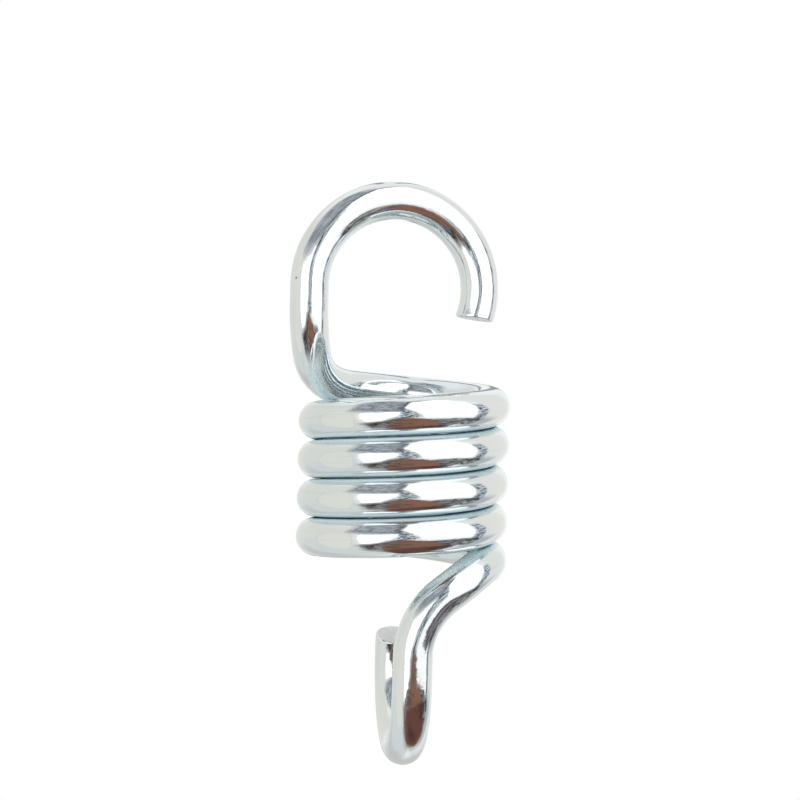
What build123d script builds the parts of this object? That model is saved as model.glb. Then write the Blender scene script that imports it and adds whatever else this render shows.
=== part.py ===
from build123d import *
import os
from math import cos, degrees, radians, sin, sqrt, tan

# A hammock chair spring: one length of round steel bar, bent to a hook at each end and wound to a close
# coil between. Sizes are in millimetres and degrees. The origin is the inside of the top hook's crown,
# where the spring hangs. +Z is up. The top hook lies in the XZ plane, and its mouth opens to +X. The
# coil's axis is parallel to Z and lies in the top hook's plane.

# The bar, with the rounding of its cut ends' rims
BAR_DIAMETER = 9.0
CUT_ROUNDING = 0.4

# The coil, wound right-handed, with its turns just clear of each other
COIL_OUTSIDE_DIAMETER = 50.0
COIL_TURNS = 4.41
TURN_GAP = 0.1

# The top hook. Its rise is from the coil's end to the hook's centre. The leg stands a little outside the
# coil's mean circle, and the bar leaves the coil at the lead angle before it. The sweep ends at the middle
# of a slanting cut.
TOP_HOOK_INSIDE_DIAMETER = 32.2
TOP_HOOK_SWEEP = 199.0
TOP_HOOK_RISE = 24.0
TOP_LEG_STRAIGHT = 4.0
TOP_LEG_OUTSET = 3.0
TOP_LEG_LEAD = 60.0
TOP_BEND_RATIO = 0.8
TOP_CUT_SLANT = 11.0

# The low hook. Its drop is from the coil's start to the hook's centre. The leg comes down in front of the
# coil's axis, the tip turns up behind it, and the whole hook stands a little to the right of that axis.
LOW_HOOK_INSIDE_DIAMETER = 26.0
LOW_HOOK_SWEEP = 199.0
LOW_HOOK_DROP = 26.5
LOW_HOOK_SIDESTEP = 1.0
LOW_LEG_STRAIGHT = 6.0
LOW_LEG_LEAD = 68.0
LOW_BEND_RATIO = 1.05

# Worked out from the sizes above
BAR_RADIUS = BAR_DIAMETER / 2
COIL_RADIUS = COIL_OUTSIDE_DIAMETER / 2 - BAR_RADIUS
COIL_PITCH = BAR_DIAMETER + TURN_GAP
COIL_HEIGHT = COIL_PITCH * COIL_TURNS
TOP_HOOK_RADIUS = TOP_HOOK_INSIDE_DIAMETER / 2 + BAR_RADIUS
LOW_HOOK_RADIUS = LOW_HOOK_INSIDE_DIAMETER / 2 + BAR_RADIUS
COIL_AXIS_X = COIL_RADIUS + TOP_LEG_OUTSET - TOP_HOOK_RADIUS
COIL_START_ANGLE = 180 - TOP_LEG_LEAD - 360 * COIL_TURNS
LOW_HOOK_ANGLE = COIL_START_ANGLE - LOW_LEG_LEAD + 180
SLANT_DEPTH = BAR_RADIUS * tan(radians(TOP_CUT_SLANT))
UP = Vector(0, 0, 1)


def level_direction(angle):
    """The unit vector in the XY plane at an angle from +X."""
    return Vector(cos(radians(angle)), sin(radians(angle)), 0)


def upright_plane(centre, outward):
    """The plane that a hook lies in: its X axis points from the leg to the mouth, and its Y axis is up."""
    return Plane(origin=centre, x_dir=outward, z_dir=outward.cross(UP))


TOP_HOOK_PLANE = upright_plane(Vector(0, 0, -TOP_HOOK_INSIDE_DIAMETER / 2), level_direction(0))
COIL_START = Vector(COIL_AXIS_X, 0, TOP_HOOK_PLANE.origin.Z - TOP_HOOK_RISE - COIL_HEIGHT)
COIL_PLANE = Plane(origin=COIL_START, x_dir=level_direction(COIL_START_ANGLE), z_dir=UP)
LOW_HOOK_SIDE = level_direction(LOW_HOOK_ANGLE - 90)
LOW_HOOK_CENTRE = COIL_START - UP * LOW_HOOK_DROP + LOW_HOOK_SIDE * LOW_HOOK_SIDESTEP
LOW_HOOK_PLANE = upright_plane(LOW_HOOK_CENTRE, level_direction(LOW_HOOK_ANGLE))


def bend(start, start_heading, end, end_heading, ratio):
    """Two tangent arcs that lead the bar from one point and heading to another.

    The headings are the outer sides of a three-sided frame, and each arc rounds one of its two corners.
    The ratio is that of the last side to the first.
    """
    chord = end - start
    headings = start_heading + end_heading * ratio
    square = 2 * ratio * (start_heading.dot(end_heading) - 1)
    linear = -2 * chord.dot(headings)
    first_side = (-linear - sqrt(linear**2 - 4 * square * chord.dot(chord))) / (2 * square)
    first_corner = start + start_heading * first_side
    last_corner = end - end_heading * (first_side * ratio)
    middle_side = last_corner - first_corner
    meeting = first_corner + middle_side * (1 / (1 + ratio))
    first_arc = TangentArc(start, meeting, tangent=start_heading)
    last_arc = TangentArc(meeting, end, tangent=middle_side)
    return [first_arc, last_arc]


def centreline():
    """The bar's centreline, from the low hook's tip up to the top hook's tip.

    The top hook's arc runs on past its sweep by twice the depth of the slanting cut, which takes that off
    again.
    """
    low_hook = LOW_HOOK_PLANE * CenterArc((0, 0), LOW_HOOK_RADIUS, 180, LOW_HOOK_SWEEP)
    low_leg = Line(low_hook @ 0, low_hook @ 0 + UP * LOW_LEG_STRAIGHT)
    coil = COIL_PLANE * Helix(COIL_PITCH, COIL_HEIGHT, COIL_RADIUS)
    top_arc = TOP_HOOK_SWEEP + degrees(2 * SLANT_DEPTH / TOP_HOOK_RADIUS)
    top_hook = TOP_HOOK_PLANE * CenterArc((0, 0), TOP_HOOK_RADIUS, 180, -top_arc)
    top_leg = Line(top_hook @ 0 - UP * TOP_LEG_STRAIGHT, top_hook @ 0)
    low_bend = bend(low_leg @ 1, UP, coil @ 0, coil % 0, LOW_BEND_RATIO)
    top_bend = bend(coil @ 1, coil % 1, top_leg @ 0, UP, TOP_BEND_RATIO)
    return Wire([low_hook, low_leg, *low_bend, coil, *top_bend, top_leg, top_hook])


def sheared_length():
    """What the slanting cut takes off the top hook's tip.

    It leaves the bar longer on the inside of the bend.
    """
    tip = Rot(0, 0, 180 - TOP_HOOK_SWEEP) * Pos(TOP_HOOK_RADIUS, 0, 0)
    slant = Rot(0, 0, TOP_CUT_SLANT) * Rot(90, 0, 0)
    waste = Cylinder(BAR_DIAMETER, BAR_DIAMETER, align=(Align.CENTER, Align.CENTER, Align.MIN))
    return TOP_HOOK_PLANE * tip * slant * waste


def make_spring():
    """The bent bar, with its two cut ends."""
    path = centreline()
    section = Plane(origin=path @ 0, x_dir=LOW_HOOK_SIDE, z_dir=path % 0) * Circle(BAR_RADIUS)
    bar = sweep(section, path=path) - sheared_length()
    cut_faces = bar.faces().filter_by(GeomType.PLANE)
    return fillet(cut_faces.edges(), CUT_ROUNDING)


spring = make_spring()
os.makedirs("parts", exist_ok=True)
export_step(spring, "parts/spring.step")
print(f"bar {centreline().length:.1f} mm long, volume {spring.volume:.0f} mm3")
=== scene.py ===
from math import cos, hypot, pi, radians, sin

import bpy
import numpy as np
from mathutils import Matrix, Vector, noise
from mathutils.bvhtree import BVHTree


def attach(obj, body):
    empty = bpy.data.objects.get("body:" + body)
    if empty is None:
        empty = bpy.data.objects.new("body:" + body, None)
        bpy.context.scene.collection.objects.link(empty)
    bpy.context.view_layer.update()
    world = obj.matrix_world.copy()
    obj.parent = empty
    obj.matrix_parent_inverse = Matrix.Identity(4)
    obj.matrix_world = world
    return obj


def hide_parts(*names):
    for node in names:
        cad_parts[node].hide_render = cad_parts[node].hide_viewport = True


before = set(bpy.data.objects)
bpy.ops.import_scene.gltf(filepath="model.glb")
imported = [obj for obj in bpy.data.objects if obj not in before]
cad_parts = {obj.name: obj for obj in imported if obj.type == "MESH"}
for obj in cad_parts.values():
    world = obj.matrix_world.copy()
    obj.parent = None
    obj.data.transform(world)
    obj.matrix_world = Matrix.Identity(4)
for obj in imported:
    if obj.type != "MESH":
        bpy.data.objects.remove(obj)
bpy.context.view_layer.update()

# A hammock chair spring: one bright zinc-plated steel bar, with a hook at each end of a close coil.
# Sizes are in metres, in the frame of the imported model: the origin is the inside of the top hook's crown.

# The bar and its cut ends
BAR_RADIUS = 0.0045
CUT_ROUNDING = 0.0004
TOP_CUT_SLANT = radians(11)

# The coil
COIL_RADIUS = 0.0205
COIL_TURNS = 4.41
COIL_PITCH = 0.0091
COIL_HEIGHT = COIL_TURNS * COIL_PITCH

# The top hook, and the bend that leads the bar up to it
TOP_HOOK_RADIUS = 0.0206
TOP_HOOK_SWEEP = radians(199)
TOP_HOOK_RISE = 0.024
TOP_LEG_STRAIGHT = 0.004
TOP_LEG_OUTSET = 0.003
TOP_LEG_LEAD = radians(60)
TOP_BEND_RATIO = 0.8

# The low hook, and the bend that leads the bar down to it
LOW_HOOK_RADIUS = 0.0175
LOW_HOOK_SWEEP = radians(199)
LOW_HOOK_DROP = 0.0265
LOW_HOOK_SIDESTEP = 0.001
LOW_LEG_STRAIGHT = 0.006
LOW_LEG_LEAD = radians(68)
LOW_BEND_RATIO = 1.05

# How finely the bar's mesh is divided, and the share of a hook over which its rings turn to the slanting cut
RING_STEP = 0.00045
RING_POINTS = 40
ROUNDING_STEPS = 5
CUT_FACE_RINGS = 10
CUT_STRETCH = 0.3

# The bar's slight waves: how high they are, and how many there are to a metre along the bar and across it
WAVE_HEIGHT = 0.000004
WAVES_ALONG = 120
WAVES_ACROSS = 260

# The camera, at the photograph's angle
CAMERA_PLACE = (-0.0782, -0.34643, -0.03845)
CAMERA_LENS = 67.5
CAMERA_SENSOR = 36.0
CAMERA_TURN = radians(-13)
CAMERA_ROLL = 0.025
CAMERA_TILT = 0.0116

# The zinc's colours and patterns. A scale is in features to a metre, and one of three numbers is for places
# on the straightened bar: along it, then across it twice. A height is that of a pattern in relief.
ZINC_COLOUR = (0.775, 0.815, 0.825)
ZINC_CLOUD = (0.735, 0.79, 0.81)
ZINC_STREAK = (0.6, 0.65, 0.66)
CLOUD_SCALE = 60.0
CLOUD_RANGE = (0.4, 0.65)
STREAK_SCALE = (60, 1500, 1500)
STREAK_RANGE = (0.56, 0.75)
STREAK_STRENGTH = 0.35
HAZE_SCALE = (90, 250, 250)
HAZE_RANGE = (0.3, 0.75)
DIMPLE_SCALE = 320.0
DIMPLE_HEIGHT = 0.000035
GRAIN_SCALE = 1300.0
GRAIN_HEIGHT = 0.0000015
RIPPLE_SCALE = (250, 1000, 1000)
RIPPLE_HEIGHT = 0.000014

# The zinc's roughness, from clear to hazy, and how much rougher it is in a streak
ROUGHNESS = (0.045, 0.12)
STREAK_ROUGHNESS = 0.12

# The one nick, on the outside of the top hook above its leg, with the distances at which it is full and gone
NICK = (-0.02417, -0.00268, -0.01482)
NICK_COLOUR = (0.1, 0.11, 0.12)
NICK_RANGE = (0.00015, 0.0004)
NICK_STRENGTH = 0.8

# Where the bar lies close to itself, the zinc is first blurred and calmer, then tinted with a painted
# reflection of the light between the turns, then duller, and last dark with painted shade. Each is in full
# from the second nearness on, and nearness is 0 at the reach and 1 at a touch.
CREVICE_REACH = 0.035
CREVICE_LEAN = 1.0
CREVICE_CLEARANCE = 0.00002
BLURRED_NEARNESS = (0.2, 0.66)
REFLECTION_TINT_NEARNESS = (0.3, 0.94)
DULLED_NEARNESS = (0.85, 0.966)
PIT_SHADE_NEARNESS = (0.98, 0.995)
# A painted reflection tint for the crevices, and a painted shade colour for the pits where the turns touch
CREVICE_REFLECTION_TINT = (0.78, 0.9, 0.92)
PIT_SHADE_COLOUR = (0.1, 0.27, 0.38)
BLURRED_METAL = 0.7
BLURRED_ROUGHNESS = 0.28
BLURRED_BUMP = 0.1
DULLED_METAL_CHANGE = -0.25

# The zinc on the cut faces, in patches and with tear marks across it
CUT_COLOUR = (0.76, 0.77, 0.76)
CUT_PATCH_COLOUR = (0.82, 0.83, 0.82)
CUT_METAL = 0.4
CUT_ROUGHNESS = (0.36, 0.5)
CUT_PATCH_SCALE = 450.0
CUT_PATCH_RANGE = (0.35, 0.65)
CUT_PATCH_HEIGHT = 0.000006
CUT_MARK_SCALE = (350, 2200, 350)
CUT_MARK_RANGE = (0.3, 0.7)
CUT_MARK_HEIGHT = 0.000002

# The studio's cards show in the zinc alone. Most are patches of a sphere round the spring, whose corners are
# azimuths to the right of the camera's own and elevations above the level, in degrees. The board's lie level,
# and their corners are metres to the right and to the front of the spring.
STUDIO_MIDDLE = (0.0029, 0.0, -0.06)
CARD_RADIUS = 0.9
CARD_STEP = 1.5
LEVEL_STEP = 0.002
FLECK_RANGE = (0.46, 0.56)
BRIGHT = (1.6, 1.6, 1.6)
BACKDROP_LEFT = ((-165, -88), (-52, -88), (-52, 62), (-75, 62), (-110, 46), (-165, 40))
BACKDROP_LOW = ((-165, -88), (-52, -88), (-52, -16), (-165, -16))
BACKDROP_RIGHT = ((100, -88), (150, -88), (150, 88), (100, 88))
OVAL_MIDDLE = (-78, -10)
OVAL_SPREAD = (24, 40)
OVAL_RIM_SPREAD = (25, 41)
OVAL_POINTS = 24
REAR_SHADES = (((171, -50), (176, -50), (176, 60), (171, 60)), ((184, -50), (189, -50), (189, 60), (184, 60)))
SIDE_LOW = ((100, -20), (128, -20), (128, -56), (100, -56))
REAR_TABLE = ((150, -24), (225, -24), (225, -60), (150, -60))
UPPER_SHADE = (
    (-70, 30), (-50, 24), (-2, 23), (4, 30), (-3, 42), (-2, 56), (6, 76), (85, 79), (85, 84), (-110, 84),
    (-108, 64), (-76, 50),
)
WINDOW_EDGE = (
    (-9, 24), (2, 26), (-2, 40), (-1, 56), (8, 76), (60, 79), (60, 84), (-5, 80), (-11, 60), (-11, 40),
)
WINDOW = (
    (4, 74), (0, 60), (-3, 45), (6, 33), (12, 20), (18, 4), (24, -12), (60, -13), (84, -14), (84, 76),
    (50, 78), (12, 77),
)
WINDOW_FOOT = ((16, -6), (84, -8), (84, -24), (50, -22), (28, -16))
LAMP = ((-49, 19), (-4, 21), (-5, 7), (-13, -7), (-18, -20), (-24, -28), (-43, -26), (-46, -8))
SIDE_SHADE = ((85, 34), (98, 34), (101, 5), (101, -46), (86, -42), (85, 0))
FRAME_STRIP = ((-6, 24), (4, 32), (11, 20), (17, 2), (19, -9), (-10, -20), (-8, -6), (-4, 6))
TABLE_NEAR = ((-60, -56), (80, -56), (80, -84), (-60, -84))
TABLE_LEFT = ((-50, -34), (-22, -24), (-14, -14), (4, -12), (6, -66), (-50, -62))
TABLE_RIGHT = ((34, -23), (60, -20), (104, -23), (104, -46), (80, -50), (54, -38), (38, -27))
TABLE_MIDDLE = ((-8, -19), (8, -11), (20, -17), (38, -27), (54, -40), (60, -46), (28, -52), (-8, -52))
BOARD_EDGE = (
    (0.001, 0.017), (0.01, 0.0135), (0.027, 0.0115), (0.053, 0.016), (0.083, 0.027), (0.143, 0.055),
    (0.111, 0.132), (0.041, 0.186), (-0.014, 0.18), (-0.045, 0.165), (-0.062, 0.135), (-0.036, 0.067),
    (-0.017, 0.041), (-0.006, 0.028),
)
BOARD = (
    (0.001, 0.017), (0.01, 0.0135), (0.024, 0.0125), (0.06, 0.045), (0.085, 0.12), (0.06, 0.25),
    (0.01, 0.25), (-0.015, 0.17), (-0.03, 0.12), (-0.02, 0.07), (-0.014, 0.043), (-0.006, 0.028),
)
BOARD_NEAR = (
    (0.001, 0.017), (0.01, 0.0135), (0.024, 0.0125), (0.05, 0.035), (0.045, 0.05), (0.0, 0.055),
    (-0.013, 0.045), (-0.006, 0.028),
)

# The floor, well below the hanging spring, and how much it glows to the camera
FLOOR_LEVEL = -0.54
FLOOR_RADIUS = 1.1
FLOOR_POINTS = 48
FLOOR_FADE = 0.7
FLOOR_STEP = 0.05
FLOOR_COLOUR = (0.8, 0.8, 0.795)
FLOOR_GLOW = 0.1

# The soft light over the spring, the world's strength as a light, and how often zinc may mirror zinc
LIGHT_PLACE = (-0.5, -0.6, 0.9)
LIGHT_SIZE = 0.9
LIGHT_POWER = 16.0
WORLD_LEVEL = 0.85
GLOSSY_BOUNCES = 10

UP = np.array((0.0, 0.0, 1.0))


def level_direction(angle):
    """The unit vector in the XY plane at an angle from +X."""
    return np.array((cos(angle), sin(angle), 0.0))


def unit(vector):
    """The vector at a length of 1."""
    return vector / np.linalg.norm(vector)


class Arc:
    """A round stretch of the bar's centreline.

    Its angle is 0 at first_side and a quarter turn at quarter_side.
    """

    def __init__(self, centre, radius, first_side, quarter_side, start, sweep):
        self.centre = centre
        self.radius = radius
        self.first_side = first_side
        self.quarter_side = quarter_side
        self.start = start
        self.sweep = sweep
        self.length = radius * abs(sweep)

    def place(self, share):
        """The point and the heading at a share of the length."""
        angle = self.start + self.sweep * share
        outward = cos(angle) * self.first_side + sin(angle) * self.quarter_side
        onward = cos(angle) * self.quarter_side - sin(angle) * self.first_side
        return self.centre + self.radius * outward, onward * np.sign(self.sweep)


class Line:
    """A straight stretch of the bar's centreline."""

    def __init__(self, start, end):
        self.start = start
        self.end = end
        self.length = np.linalg.norm(end - start)

    def place(self, share):
        """The point and the heading at a share of the length."""
        return self.start + (self.end - self.start) * share, unit(self.end - self.start)


class Coil:
    """The coiled stretch of the bar's centreline, right-handed and rising."""

    def __init__(self, base, start_angle):
        self.base = base
        self.start_angle = start_angle
        self.length = hypot(2 * pi * COIL_RADIUS * COIL_TURNS, COIL_HEIGHT)

    def place(self, share):
        """The point and the heading at a share of the length."""
        angle = self.start_angle + 2 * pi * COIL_TURNS * share
        point = self.base + level_direction(angle) * COIL_RADIUS + UP * COIL_HEIGHT * share
        heading = level_direction(angle + pi / 2) * COIL_RADIUS + UP * COIL_PITCH / (2 * pi)
        return point, unit(heading)


def tangent_arc(start, heading, end):
    """The arc that leaves a point along a heading and passes through another point."""
    chord = end - start
    half_turn = np.arccos(unit(chord) @ heading)
    inward = unit(chord - heading * (chord @ heading))
    radius = np.linalg.norm(chord) / (2 * sin(half_turn))
    return Arc(start + inward * radius, radius, -inward, heading, 0.0, 2 * half_turn)


def bend(start, start_heading, end, end_heading, ratio):
    """Two tangent arcs that lead the bar from one point and heading to another."""
    chord = end - start
    headings = start_heading + end_heading * ratio
    square = 2 * ratio * (start_heading @ end_heading - 1)
    linear = -2 * chord @ headings
    first_side = (-linear - np.sqrt(linear**2 - 4 * square * (chord @ chord))) / (2 * square)
    first_corner = start + start_heading * first_side
    last_corner = end - end_heading * (first_side * ratio)
    middle_side = last_corner - first_corner
    meeting = first_corner + middle_side / (1 + ratio)
    return [tangent_arc(start, start_heading, meeting), tangent_arc(meeting, unit(middle_side), end)]


def make_centreline():
    """The stretches of the bar from the low hook's tip up to the top hook's tip."""
    top_centre = UP * (BAR_RADIUS - TOP_HOOK_RADIUS)
    base = top_centre - UP * (TOP_HOOK_RISE + COIL_HEIGHT)
    base[0] = COIL_RADIUS + TOP_LEG_OUTSET - TOP_HOOK_RADIUS
    coil_start = pi - TOP_LEG_LEAD - 2 * pi * COIL_TURNS
    low_angle = coil_start - LOW_LEG_LEAD + pi
    low_centre = base - UP * LOW_HOOK_DROP + level_direction(low_angle - pi / 2) * LOW_HOOK_SIDESTEP
    low_side = level_direction(low_angle)
    low_hook = Arc(low_centre, LOW_HOOK_RADIUS, low_side, UP, pi + LOW_HOOK_SWEEP, -LOW_HOOK_SWEEP)
    top_hook = Arc(top_centre, TOP_HOOK_RADIUS, level_direction(0), UP, pi, -TOP_HOOK_SWEEP)
    coil = Coil(base, coil_start)
    low_leg_foot = low_hook.place(1)[0]
    low_leg = Line(low_leg_foot, low_leg_foot + UP * LOW_LEG_STRAIGHT)
    top_leg_head = top_hook.place(0)[0]
    top_leg = Line(top_leg_head - UP * TOP_LEG_STRAIGHT, top_leg_head)
    low_bend = bend(low_leg.end, UP, *coil.place(0), LOW_BEND_RATIO)
    top_bend = bend(*coil.place(1), top_leg.start, UP, TOP_BEND_RATIO)
    return low_hook, [low_leg, *low_bend, coil, *top_bend, top_leg], top_hook


LOW_HOOK, MIDDLE, TOP_HOOK = make_centreline()


def ring_angles():
    """The angles of a ring's points about the bar, as a column."""
    return (np.arange(RING_POINTS) * 2 * pi / RING_POINTS)[:, None]


def end_profile():
    """Ring radius and setback from the cut, round the rounded rim and in over the cut face."""
    flat = BAR_RADIUS - CUT_ROUNDING
    turns = [pi / 2 * i / ROUNDING_STEPS for i in range(ROUNDING_STEPS + 1)]
    rim = [(flat + CUT_ROUNDING * cos(t), CUT_ROUNDING * (1 - sin(t))) for t in turns]
    face = [(flat * (1 - i / CUT_FACE_RINGS), 0.0) for i in range(1, CUT_FACE_RINGS)]
    return rim + face


def overrun(hook, slant, ring_radius, setback):
    """How far past the hook's sweep each line along the bar meets the cut, as angles at the hook's centre."""
    across = hook.radius + ring_radius * np.cos(ring_angles())
    return np.arcsin((hook.radius * sin(slant) - setback) / across) - slant


def hook_ring(hook, normal, ring_radius, angles):
    """One ring of a hook, whose points may each be at their own angle from the leg."""
    turn = pi + angles
    outward = np.cos(turn) * hook.first_side + np.sin(turn) * hook.quarter_side
    phi = ring_angles()
    reach = hook.radius + ring_radius * np.cos(phi)
    return hook.centre + reach * outward + ring_radius * np.sin(phi) * normal


def hook_rings(hook, heading, way, slant):
    """A hook's rings from its leg to its tip, then in over the cut face. Heading is the bar's at the leg."""
    normal = np.cross(heading, -hook.first_side)
    sweep = abs(hook.sweep)
    profile = end_profile()
    give = overrun(hook, slant, *profile[0])
    steps = round(hook.length / RING_STEP)
    rings = []
    for i in range(steps):
        share = i / steps
        stretch = max(0.0, (share - 1 + CUT_STRETCH) / CUT_STRETCH)
        rings.append(hook_ring(hook, normal, BAR_RADIUS, way * (sweep * share + give * stretch)))
    for ring_radius, setback in profile:
        angles = sweep + overrun(hook, slant, ring_radius, setback)
        rings.append(hook_ring(hook, normal, ring_radius, way * angles))
    return rings


def middle_rings():
    """The rings between the hooks, with their side directions carried along without twist.

    What turn is left over at the top hook is shared out along the way, so that both hooks' rings join on.
    """
    points = []
    headings = []
    for stretch in MIDDLE:
        steps = round(stretch.length / RING_STEP)
        for i in range(steps):
            point, heading = stretch.place(i / steps)
            points.append(point)
            headings.append(heading)
    sides = [-LOW_HOOK.first_side]
    for heading in headings[1:]:
        sides.append(unit(sides[-1] - heading * (sides[-1] @ heading)))
    wanted = -TOP_HOOK.first_side
    left_over = np.arctan2(np.cross(sides[-1], wanted) @ headings[-1], sides[-1] @ wanted)
    rings = []
    for i, (point, heading, side) in enumerate(zip(points, headings, sides)):
        turn = ring_angles() + left_over * i / (len(points) - 1)
        rings.append(point + BAR_RADIUS * (np.cos(turn) * side + np.sin(turn) * np.cross(heading, side)))
    return rings


def waves(places):
    """The waves that drawing and bending leave in the bar's surface, for places on the straightened bar."""
    spots = [Vector((s * WAVES_ALONG, y * WAVES_ACROSS, z * WAVES_ACROSS)) for s, y, z in places]
    return np.array([noise.noise(spot) for spot in spots])[:, None] * WAVE_HEIGHT


def make_wavy(rings, centres, travel):
    """Moves the points of the full-sized rings by the waves, and gives every point's straightened place."""
    full_size_slack = CUT_ROUNDING / 4
    places = []
    for i, ring in enumerate(rings):
        reach = np.linalg.norm(ring - centres[i], axis=1)
        for angle, radius in zip(ring_angles()[:, 0], reach):
            places.append((travel[i], radius * cos(angle), radius * sin(angle)))
        if abs(reach.mean() - BAR_RADIUS) < full_size_slack:
            outward = (ring - centres[i]) / reach[:, None]
            rings[i] = ring + outward * waves(places[-RING_POINTS:])
    return places


def bar_faces(ring_count):
    """The faces between neighbouring rings, then those between each end ring and the hub of its cut face."""
    sides = [(j, (j + 1) % RING_POINTS) for j in range(RING_POINTS)]
    faces = []
    for i in range(ring_count - 1):
        near = i * RING_POINTS
        far = near + RING_POINTS
        faces += [(near + j, near + k, far + k, far + j) for j, k in sides]
    last = (ring_count - 1) * RING_POINTS
    low_hub = ring_count * RING_POINTS
    top_hub = low_hub + 1
    faces += [(j, low_hub, k) for j, k in sides]
    faces += [(last + j, last + k, top_hub) for j, k in sides]
    return faces


def mark_cut_faces(mesh, ring_count):
    """Gives the two cut faces the second material."""
    for polygon in mesh.polygons:
        ring = min(polygon.vertices) // RING_POINTS
        if ring < CUT_FACE_RINGS - 1 or ring >= ring_count - CUT_FACE_RINGS:
            polygon.material_index = 1


def mark_crevices(mesh):
    """Marks how near each point of the bar lies to another stretch of it, from 0 to 1."""
    tree = BVHTree.FromPolygons([v.co for v in mesh.vertices], [p.vertices for p in mesh.polygons])
    nearness = []
    for vertex in mesh.vertices:
        start = vertex.co + vertex.normal * CREVICE_CLEARANCE
        gaps = []
        for lean in (-CREVICE_LEAN, 0.0, CREVICE_LEAN):
            way = (vertex.normal + Vector((0, 0, lean))).normalized()
            gap = tree.ray_cast(start, way, CREVICE_REACH)[3]
            gaps.append(CREVICE_REACH if gap is None else gap)
        nearness.append(1 - sum(sorted(gaps)[:2]) / (2 * CREVICE_REACH))
    mesh.attributes.new("crevice", "FLOAT", "POINT").data.foreach_set("value", nearness)


def new_object(name, data):
    """A new object, linked to the scene."""
    made = bpy.data.objects.new(name, data)
    bpy.context.scene.collection.objects.link(made)
    return made


def make_bar():
    """The whole bar as one closed mesh of rings, with a hub in each cut face."""
    low = hook_rings(LOW_HOOK, UP, 1, 0.0)
    top = hook_rings(TOP_HOOK, UP, -1, TOP_CUT_SLANT)
    rings = low[:0:-1] + middle_rings() + top
    ends = (0, len(rings) - 1)
    centres = np.array([ring.mean(axis=0) for ring in rings])
    travel = np.concatenate(([0.0], np.cumsum(np.linalg.norm(np.diff(centres, axis=0), axis=1))))
    places = make_wavy(rings, centres, travel) + [(travel[end], 0.0, 0.0) for end in ends]
    verts = [tuple(point) for ring in rings for point in ring] + [tuple(centres[end]) for end in ends]
    mesh = bpy.data.meshes.new("spring_bar")
    mesh.from_pydata(verts, [], bar_faces(len(rings)))
    mesh.polygons.foreach_set("use_smooth", [True] * len(mesh.polygons))
    bar_place = mesh.attributes.new("bar_place", "FLOAT_VECTOR", "POINT")
    bar_place.data.foreach_set("vector", np.array(places).ravel())
    mark_cut_faces(mesh, len(rings))
    mark_crevices(mesh)
    return new_object("spring_bar", mesh)


def new_material(name):
    """A new material and its node tree, which is empty."""
    material = bpy.data.materials.new(name)
    material.use_nodes = True
    material.node_tree.nodes.clear()
    return material, material.node_tree


def set_surface(tree, shader):
    """Makes a shader the material's surface."""
    out = tree.nodes.new("ShaderNodeOutputMaterial")
    tree.links.new(shader, out.inputs["Surface"])


def attribute(tree, name, output="Fac"):
    """One of the mesh's attributes, as a number unless another output is named."""
    node = tree.nodes.new("ShaderNodeAttribute")
    node.attribute_name = name
    return node.outputs[output]


def object_place(tree):
    """The place in the object's own frame, in metres."""
    return tree.nodes.new("ShaderNodeTexCoord").outputs["Object"]


def noise_node(tree, place, scale, detail, distortion=0.0):
    """A noise, which a scale of three numbers stretches."""
    if isinstance(scale, tuple):
        mapping = tree.nodes.new("ShaderNodeMapping")
        mapping.inputs["Scale"].default_value = scale
        tree.links.new(place, mapping.inputs["Vector"])
        place = mapping.outputs["Vector"]
        scale = 1.0
    node = tree.nodes.new("ShaderNodeTexNoise")
    node.inputs["Scale"].default_value = scale
    node.inputs["Detail"].default_value = detail
    node.inputs["Distortion"].default_value = distortion
    tree.links.new(place, node.inputs["Vector"])
    return node.outputs["Fac"]


def range_node(tree, value, from_range, to_range=(0.0, 1.0)):
    """A value carried over from one range to another, and held within it."""
    node = tree.nodes.new("ShaderNodeMapRange")
    node.inputs["From Min"].default_value, node.inputs["From Max"].default_value = from_range
    node.inputs["To Min"].default_value, node.inputs["To Max"].default_value = to_range
    tree.links.new(value, node.inputs["Value"])
    return node.outputs["Result"]


def math_node(tree, operation, *values):
    """A sum over values that are each a number or a socket."""
    node = tree.nodes.new("ShaderNodeMath")
    node.operation = operation
    for socket, value in zip(node.inputs, values):
        if isinstance(value, float):
            socket.default_value = value
        else:
            tree.links.new(value, socket)
    return node.outputs["Value"]


def colour_mix(tree, share, first, second):
    """A mix of two colours that are each a tuple or a socket."""
    node = tree.nodes.new("ShaderNodeMix")
    node.data_type = "RGBA"
    tree.links.new(share, node.inputs["Factor"])
    for name, colour in (("A", first), ("B", second)):
        socket = next(s for s in node.inputs if s.name == name and s.type == "RGBA")
        if isinstance(colour, tuple):
            socket.default_value = (*colour, 1)
        else:
            tree.links.new(colour, socket)
    return next(s for s in node.outputs if s.type == "RGBA")


def bump(tree, height, distance, below=None, strength=None):
    """A relief of a pattern, whose full height is the distance, over the relief below it."""
    node = tree.nodes.new("ShaderNodeBump")
    node.inputs["Distance"].default_value = distance
    tree.links.new(height, node.inputs["Height"])
    if below:
        tree.links.new(below, node.inputs["Normal"])
    if strength:
        tree.links.new(strength, node.inputs["Strength"])
    return node.outputs["Normal"]


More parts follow.
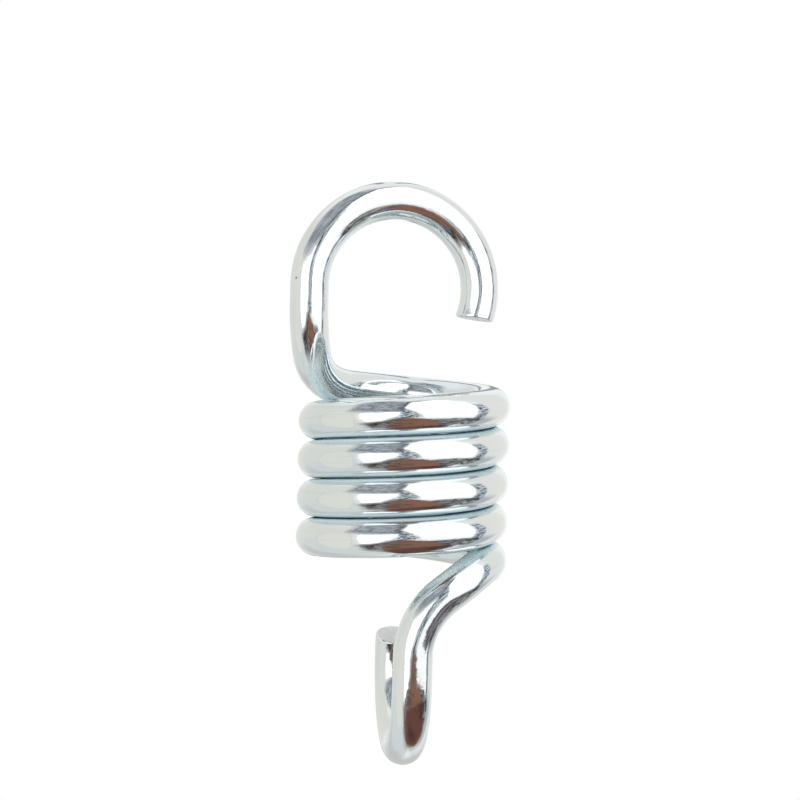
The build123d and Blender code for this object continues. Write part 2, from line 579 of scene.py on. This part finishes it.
def zinc_tint(tree, place, streaks, nearness):
    """The zinc's colour: cloudy and streaked, dark in the nick, with a painted reflection tint and painted
    shade where the bar nears itself.
    """
    clouds = noise_node(tree, place, CLOUD_SCALE, detail=4.0)
    tint = colour_mix(tree, range_node(tree, clouds, CLOUD_RANGE), ZINC_COLOUR, ZINC_CLOUD)
    tint = colour_mix(tree, streaks, tint, ZINC_STREAK)
    nick = tree.nodes.new("ShaderNodeVectorMath")
    nick.operation = "DISTANCE"
    nick.inputs[1].default_value = NICK
    tree.links.new(place, nick.inputs[0])
    nick_share = range_node(tree, nick.outputs["Value"], NICK_RANGE, (NICK_STRENGTH, 0.0))
    tint = colour_mix(tree, nick_share, tint, NICK_COLOUR)
    # A painted reflection tint where the bar nears itself, then painted shade in the pit where the turns
    # touch
    tint = colour_mix(tree, range_node(tree, nearness, REFLECTION_TINT_NEARNESS), tint, CREVICE_REFLECTION_TINT)
    return colour_mix(tree, range_node(tree, nearness, PIT_SHADE_NEARNESS), tint, PIT_SHADE_COLOUR)


def zinc_normal(tree, place, bar_place, strength):
    """The zinc's relief: shallow dimples, a fine grain, and ripples along the bar."""
    dimples = noise_node(tree, place, DIMPLE_SCALE, detail=2.0)
    grain = noise_node(tree, place, GRAIN_SCALE, detail=3.0)
    ripples = noise_node(tree, bar_place, RIPPLE_SCALE, detail=2.0, distortion=0.5)
    normal = bump(tree, dimples, DIMPLE_HEIGHT, strength=strength)
    normal = bump(tree, grain, GRAIN_HEIGHT, normal, strength)
    return bump(tree, ripples, RIPPLE_HEIGHT, normal, strength)


def zinc_material():
    """Bright zinc on drawn bar, which is duller and calmer where the bar lies close to itself."""
    material, tree = new_material("bright_zinc")
    shader = tree.nodes.new("ShaderNodeBsdfPrincipled")
    place = object_place(tree)
    bar_place = attribute(tree, "bar_place", "Vector")
    nearness = attribute(tree, "crevice")
    streaks = noise_node(tree, bar_place, STREAK_SCALE, detail=4.0)
    streaks = range_node(tree, streaks, STREAK_RANGE, (0.0, STREAK_STRENGTH))
    haze = noise_node(tree, bar_place, HAZE_SCALE, detail=5.0, distortion=0.6)
    blur = range_node(tree, nearness, BLURRED_NEARNESS)
    dullness = range_node(tree, nearness, DULLED_NEARNESS)
    metal = range_node(tree, blur, (0.0, 1.0), (1.0, BLURRED_METAL))
    metal = math_node(tree, "MULTIPLY_ADD", dullness, DULLED_METAL_CHANGE, metal)
    rough = range_node(tree, haze, HAZE_RANGE, ROUGHNESS)
    rough = math_node(tree, "MULTIPLY_ADD", streaks, STREAK_ROUGHNESS, rough)
    rough = math_node(tree, "MULTIPLY_ADD", blur, BLURRED_ROUGHNESS, rough)
    relief = range_node(tree, blur, (0.0, 1.0), (1.0, BLURRED_BUMP))
    tree.links.new(zinc_tint(tree, place, streaks, nearness), shader.inputs["Base Color"])
    tree.links.new(metal, shader.inputs["Metallic"])
    tree.links.new(rough, shader.inputs["Roughness"])
    tree.links.new(zinc_normal(tree, place, bar_place, relief), shader.inputs["Normal"])
    set_surface(tree, shader.outputs["BSDF"])
    return material


def cut_material():
    """Zinc on the sheared ends: duller, with fine tear marks across the face."""
    material, tree = new_material("zinc_on_cut_face")
    shader = tree.nodes.new("ShaderNodeBsdfPrincipled")
    shader.inputs["Metallic"].default_value = CUT_METAL
    place = object_place(tree)
    marks = noise_node(tree, place, CUT_MARK_SCALE, detail=4.0)
    patches = noise_node(tree, place, CUT_PATCH_SCALE, detail=4.0)
    tint = colour_mix(tree, range_node(tree, patches, CUT_PATCH_RANGE), CUT_COLOUR, CUT_PATCH_COLOUR)
    rough = range_node(tree, marks, CUT_MARK_RANGE, CUT_ROUGHNESS)
    normal = bump(tree, marks, CUT_MARK_HEIGHT)
    normal = bump(tree, patches, CUT_PATCH_HEIGHT, normal)
    tree.links.new(tint, shader.inputs["Base Color"])
    tree.links.new(rough, shader.inputs["Roughness"])
    tree.links.new(normal, shader.inputs["Normal"])
    set_surface(tree, shader.outputs["BSDF"])
    return material


def make_camera():
    """The camera of the photograph: turned to the left of the object, almost level, and rolled a little."""
    data = bpy.data.cameras.new("camera")
    data.lens = CAMERA_LENS
    data.sensor_width = CAMERA_SENSOR
    camera = new_object("camera", data)
    rise = sin(CAMERA_ROLL)
    right = Vector((cos(CAMERA_ROLL), rise * sin(CAMERA_TILT), rise * cos(CAMERA_TILT)))
    forward = Vector((0, cos(CAMERA_TILT), -sin(CAMERA_TILT)))
    top = right.cross(forward)
    turn = Matrix((right, top, -forward)).transposed().to_4x4()
    camera.matrix_world = Matrix.Translation(CAMERA_PLACE) @ Matrix.Rotation(CAMERA_TURN, 4, "Z") @ turn
    bpy.context.scene.camera = camera


def make_world():
    """A white world, which is dimmer as a light than it looks."""
    world = bpy.data.worlds.new("studio")
    bpy.context.scene.world = world
    world.use_nodes = True
    tree = world.node_tree
    path = tree.nodes.new("ShaderNodeLightPath")
    seen = math_node(tree, "MAXIMUM", path.outputs["Is Camera Ray"], path.outputs["Is Glossy Ray"])
    seen = math_node(tree, "MAXIMUM", seen, path.outputs["Is Transmission Ray"])
    background = tree.nodes["Background"]
    background.inputs["Color"].default_value = (1, 1, 1, 1)
    level = math_node(tree, "MULTIPLY_ADD", seen, 1 - WORLD_LEVEL, WORLD_LEVEL)
    tree.links.new(level, background.inputs["Strength"])


def make_light():
    """One soft light over the spring's left shoulder."""
    data = bpy.data.lights.new("soft_light", "AREA")
    data.shape = "DISK"
    data.size = LIGHT_SIZE
    data.energy = LIGHT_POWER
    light = new_object("soft_light", data)
    light.location = LIGHT_PLACE
    light.rotation_euler = (Vector(LIGHT_PLACE) - Vector(STUDIO_MIDDLE)).to_track_quat("Z", "Y").to_euler()
    light.visible_glossy = False


def depth_inside(points, corners):
    """How far inside an outline each point is, in the outline's own units. It is negative outside."""
    corners = np.array(corners, float)
    inside = np.zeros(len(points), bool)
    nearest = np.full(len(points), np.inf)
    for a, b in zip(corners, np.roll(corners, -1, axis=0)):
        edge = b - a
        share = np.clip((points - a) @ edge / (edge @ edge), 0, 1)[:, None]
        nearest = np.minimum(nearest, np.linalg.norm(points - a - share * edge, axis=1))
        crosses = (a[1] > points[:, 1]) != (b[1] > points[:, 1])
        reach = a[0] + (points[:, 1] - a[1]) * edge[0] / (edge[1] or 1)
        inside ^= crosses & (points[:, 0] < reach)
    return np.where(inside, nearest, -nearest)


def show_through(tree, cover, shader):
    """Gives the material a surface that is clear where its cover is 0."""
    clear = tree.nodes.new("ShaderNodeBsdfTransparent")
    mix = tree.nodes.new("ShaderNodeMixShader")
    tree.links.new(cover, mix.inputs["Fac"])
    tree.links.new(clear.outputs["BSDF"], mix.inputs[1])
    tree.links.new(shader, mix.inputs[2])
    set_surface(tree, mix.outputs["Shader"])


def card_material(name, colour, fleck, fleck_scale, wander):
    """Glow that fades out over the card's edge. Flecks of a second colour mottle it, and its edge wanders."""
    material, tree = new_material(name)
    material.cycles.emission_sampling = "NONE"
    flecks = noise_node(tree, object_place(tree), fleck_scale, detail=5.0, distortion=1.0)
    tint = colour_mix(tree, range_node(tree, flecks, FLECK_RANGE), colour, fleck)
    glow = tree.nodes.new("ShaderNodeEmission")
    tree.links.new(tint, glow.inputs["Color"])
    depth = math_node(tree, "MULTIPLY_ADD", flecks, wander, attribute(tree, "depth"))
    cover = range_node(tree, depth, (wander / 2, wander / 2 + 1))
    show_through(tree, cover, glow.outputs["Emission"])
    return material


def on_sphere(shrink):
    """Places on the studio's sphere for azimuths from the camera and elevations, in degrees."""
    def place(angles):
        side = np.radians(angles[:, 0]) + CAMERA_TURN
        rise = np.radians(angles[:, 1])
        level = np.cos(rise)
        directions = np.stack((np.sin(side) * level, -np.cos(side) * level, np.sin(rise)), axis=1)
        return directions * CARD_RADIUS * shrink + STUDIO_MIDDLE
    return place


def on_level(height):
    """Places on a level plane for distances to the camera's right and to the front."""
    right = level_direction(CAMERA_TURN)
    front = level_direction(CAMERA_TURN - pi / 2)

    def place(spots):
        return spots[:, :1] * right + spots[:, 1:] * front + UP * height + STUDIO_MIDDLE
    return place


def make_patch(name, corners, softness, step, place, spare=0.0):
    """A stage mesh over an outline, whose depth attribute runs from 0 to 1 across the outline's soft edge."""
    corners = np.array(corners, float)
    low = corners.min(axis=0) - softness
    high = corners.max(axis=0) + softness
    columns, rows = (int(n) for n in np.ceil((high - low) / step) + 1)
    across, up = np.meshgrid(np.linspace(low[0], high[0], columns), np.linspace(low[1], high[1], rows))
    spots = np.stack((across.ravel(), up.ravel()), axis=1)
    depth = depth_inside(spots, corners) / softness + 0.5
    faces = []
    for i in range(rows - 1):
        for j in range(columns - 1):
            k = i * columns + j
            face = (k, k + 1, k + columns + 1, k + columns)
            if depth[list(face)].max() > -spare:
                faces.append(face)
    mesh = bpy.data.meshes.new(name)
    mesh.from_pydata([tuple(v) for v in place(spots)], [], faces)
    mesh.attributes.new("depth", "FLOAT", "POINT").data.foreach_set("value", depth)
    patch = new_object(name, mesh)
    return patch


def make_card(
    name, corners, colour, softness, shrink=1.0, fleck=None, fleck_scale=14.0, wander=0.0, level=None,
):
    """A patch of the studio's sphere, or of a level plane, with a soft edge."""
    if level is None:
        card = make_patch(name, corners, softness, CARD_STEP, on_sphere(shrink), wander / 2)
    else:
        card = make_patch(name, corners, softness, LEVEL_STEP, on_level(level))
    card.data.materials.append(card_material(name, colour, fleck or colour, fleck_scale, wander))
    card.visible_camera = False
    card.visible_diffuse = False
    card.visible_shadow = False


def oval(middle, spread, points):
    """The corners of an oval outline."""
    turns = [2 * pi * i / points for i in range(points)]
    return [(middle[0] + spread[0] * cos(t), middle[1] + spread[1] * sin(t)) for t in turns]


def make_floor():
    """A plain pale floor that keeps the spring's shadow and fades away at its rim."""
    outline = oval((0, 0), (FLOOR_RADIUS, FLOOR_RADIUS), FLOOR_POINTS)
    floor = make_patch("floor", outline, FLOOR_FADE, FLOOR_STEP, on_level(FLOOR_LEVEL))
    floor.visible_glossy = False
    material, tree = new_material("pale_floor")
    matt = tree.nodes.new("ShaderNodeBsdfDiffuse")
    matt.inputs["Color"].default_value = (*FLOOR_COLOUR, 1)
    glow = tree.nodes.new("ShaderNodeEmission")
    seen = tree.nodes.new("ShaderNodeLightPath").outputs["Is Camera Ray"]
    tree.links.new(math_node(tree, "MULTIPLY", seen, FLOOR_GLOW), glow.inputs["Strength"])
    both = tree.nodes.new("ShaderNodeAddShader")
    tree.links.new(matt.outputs["BSDF"], both.inputs[0])
    tree.links.new(glow.outputs["Emission"], both.inputs[1])
    show_through(tree, range_node(tree, attribute(tree, "depth"), (0.0, 1.0)), both.outputs["Shader"])
    floor.data.materials.append(material)


def make_backdrop():
    """The pale cards at the sides and behind, each nearer than those it covers."""
    make_card("backdrop_left", BACKDROP_LEFT, (0.86, 0.845, 0.79), softness=14)
    make_card("backdrop_low", BACKDROP_LOW, (0.78, 0.8, 0.79), softness=24, shrink=0.997)
    make_card("backdrop_right", BACKDROP_RIGHT, (0.94, 0.91, 0.87), softness=6)
    rim = oval(OVAL_MIDDLE, OVAL_RIM_SPREAD, OVAL_POINTS)
    make_card("oval_rim", rim, (0.74, 0.73, 0.69), softness=2, shrink=0.995)
    inner = oval(OVAL_MIDDLE, OVAL_SPREAD, OVAL_POINTS)
    make_card("oval", inner, (0.89, 0.87, 0.8), softness=2, shrink=0.99, wander=0.5)
    for side, corners in zip(("left", "right"), REAR_SHADES):
        make_card(f"rear_shade_{side}", corners, (0.34, 0.35, 0.36), softness=2, shrink=0.98)
    make_card("side_low", SIDE_LOW, (0.52, 0.55, 0.58), softness=12, shrink=0.96)
    make_card("rear_table", REAR_TABLE, (0.66, 0.65, 0.63), softness=16, shrink=0.97)


def make_window():
    """The window and the lamp, with the shades and the frame round them, each nearer than those it covers."""
    make_card(
        "upper_shade", UPPER_SHADE, (0.24, 0.255, 0.28), softness=11, shrink=0.95,
        fleck=(0.52, 0.54, 0.58), fleck_scale=15.0, wander=0.8,
    )
    make_card(
        "window_edge", WINDOW_EDGE, (0.09, 0.095, 0.1), softness=5, shrink=0.94,
        fleck=(0.4, 0.42, 0.44), fleck_scale=15.0, wander=1.2,
    )
    make_card("window", WINDOW, BRIGHT, softness=5, shrink=0.9)
    make_card("window_foot", WINDOW_FOOT, (1.25, 1.22, 1.22), softness=10, shrink=0.89)
    make_card("lamp", LAMP, BRIGHT, softness=2, shrink=0.85, wander=0.6)
    make_card(
        "side_shade", SIDE_SHADE, (0.12, 0.14, 0.17), softness=4, shrink=0.8,
        fleck=(0.7, 0.74, 0.8), wander=1.0,
    )
    make_card(
        "frame_strip", FRAME_STRIP, (0.07, 0.08, 0.09), softness=4, shrink=0.8,
        fleck=(0.85, 0.9, 0.95), wander=1.5,
    )


def make_table():
    """The brown table far below, and the board just under the low hook, nearest last."""
    make_card("table_near", TABLE_NEAR, (0.46, 0.48, 0.47), softness=12, shrink=0.77)
    make_card(
        "table_left", TABLE_LEFT, (0.05, 0.045, 0.042), softness=12, shrink=0.76,
        fleck=(0.24, 0.19, 0.17), fleck_scale=11.0, wander=1.0,
    )
    make_card(
        "table_right", TABLE_RIGHT, (0.07, 0.08, 0.08), softness=5, shrink=0.74,
        fleck=(0.44, 0.44, 0.42), wander=1.0,
    )
    make_card(
        "table_middle", TABLE_MIDDLE, (0.36, 0.18, 0.115), softness=5, shrink=0.72,
        fleck=(0.18, 0.11, 0.09), fleck_scale=7.0, wander=0.8,
    )
    make_card(
        "board_edge", BOARD_EDGE, (0.07, 0.055, 0.065), softness=0.003, level=-0.076,
        fleck=(0.3, 0.28, 0.29), fleck_scale=60.0,
    )
    make_card(
        "board", BOARD, (0.285, 0.142, 0.098), softness=0.003, level=-0.075,
        fleck=(0.16, 0.1, 0.085), fleck_scale=18.0,
    )
    make_card(
        "board_near", BOARD_NEAR, (0.155, 0.07, 0.055), softness=0.009, level=-0.074,
        fleck=(0.1, 0.045, 0.038), fleck_scale=25.0,
    )


bar = make_bar()
bar.data.materials.append(zinc_material())
bar.data.materials.append(cut_material())
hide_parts("spring")
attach(bar, "root")
make_camera()
make_world()
make_light()
make_floor()
make_backdrop()
make_window()
make_table()

bpy.context.scene.view_settings.view_transform = "Standard"
bpy.context.scene.cycles.glossy_bounces = GLOSSY_BOUNCES
